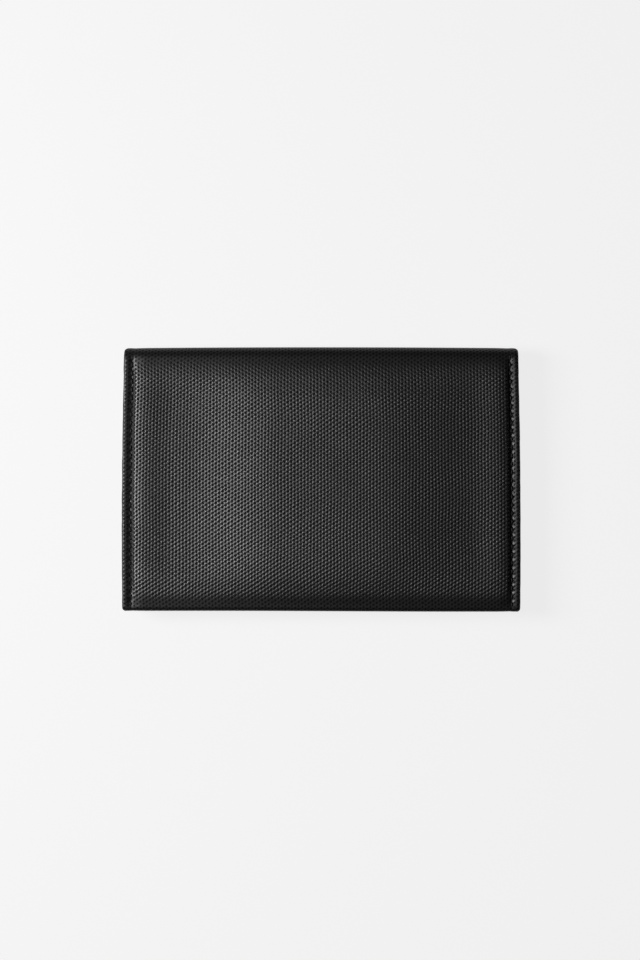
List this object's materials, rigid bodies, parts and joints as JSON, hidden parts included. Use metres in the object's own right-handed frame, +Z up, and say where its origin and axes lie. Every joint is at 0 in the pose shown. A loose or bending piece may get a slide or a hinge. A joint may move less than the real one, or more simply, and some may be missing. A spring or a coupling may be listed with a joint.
{
  "type": "passport holder wallet",
  "caption": "Black grained leather passport wallet that folds flat like a book, with turned-in pockets and card slots, lying closed on its back cover",
  "frame": {"origin": "on the surface the closed wallet lies on, under the middle of its outline", "axes": "+X along the spine, +Y from the fore-edge to the spine, +Z up out of the front cover"},
  "size_m": [0.145, 0.096, 0.0143],
  "materials": {
    "outer_leather": "black, embossed with a fine staggered grain, semi-gloss",
    "inner_leather": "black, the same grain, satin",
    "slot_leather": "black, thin and smooth, satin",
    "lining_cloth": "black plain-weave lining, matt",
    "padding_foam": "dark grey foam, hidden",
    "stiffener_board": "grey-brown board, hidden",
    "thread": "black waxed sewing thread"
  },
  "bodies": {
    "back_cover": {"back_cover_leather": "outer_leather", "back_edge_leather": "outer_leather", "back_pocket_leather": "inner_leather", "back_padding": "padding_foam", "back_board": "stiffener_board", "back_lining": "lining_cloth", "back_left_thread": "thread", "back_right_thread": "thread", "lower_fold_leather": "outer_leather", "lower_fold_lining": "lining_cloth", "lower_fold_thread": "thread"},
    "spine": {"spine_leather": "outer_leather", "spine_lining": "lining_cloth", "spine_thread": "thread"},
    "front_cover": {"front_cover_leather": "outer_leather", "front_edge_leather": "outer_leather", "front_pocket_leather": "inner_leather", "front_padding": "padding_foam", "front_board": "stiffener_board", "front_lining": "lining_cloth", "front_left_thread": "thread", "front_right_thread": "thread", "upper_fold_leather": "outer_leather", "upper_fold_lining": "lining_cloth", "upper_fold_thread": "thread", "card_slot_1": "slot_leather", "card_slot_2": "slot_leather", "card_slot_3": "slot_leather", "card_slot_thread": "thread"}
  },
  "joints": [
    {"name": "lower_fold_hinge", "type": "hinge", "parent": "back_cover", "child": "spine", "pos_m": [0, 0.04703, 0.00207], "axis": [-1, 0, 0], "range_deg": [0, 90], "deforming": ["lower_fold_leather", "lower_fold_lining", "lower_fold_thread"]},
    {"name": "upper_fold_hinge", "type": "hinge", "parent": "spine", "child": "front_cover", "pos_m": [0, 0.04703, 0.01223], "axis": [-1, 0, 0], "range_deg": [0, 90], "deforming": ["upper_fold_leather", "upper_fold_lining", "upper_fold_thread"]}
  ],
  "couplings": [
    {"joint": "upper_fold_hinge", "follows": "lower_fold_hinge", "ratio": 1}
  ]
}
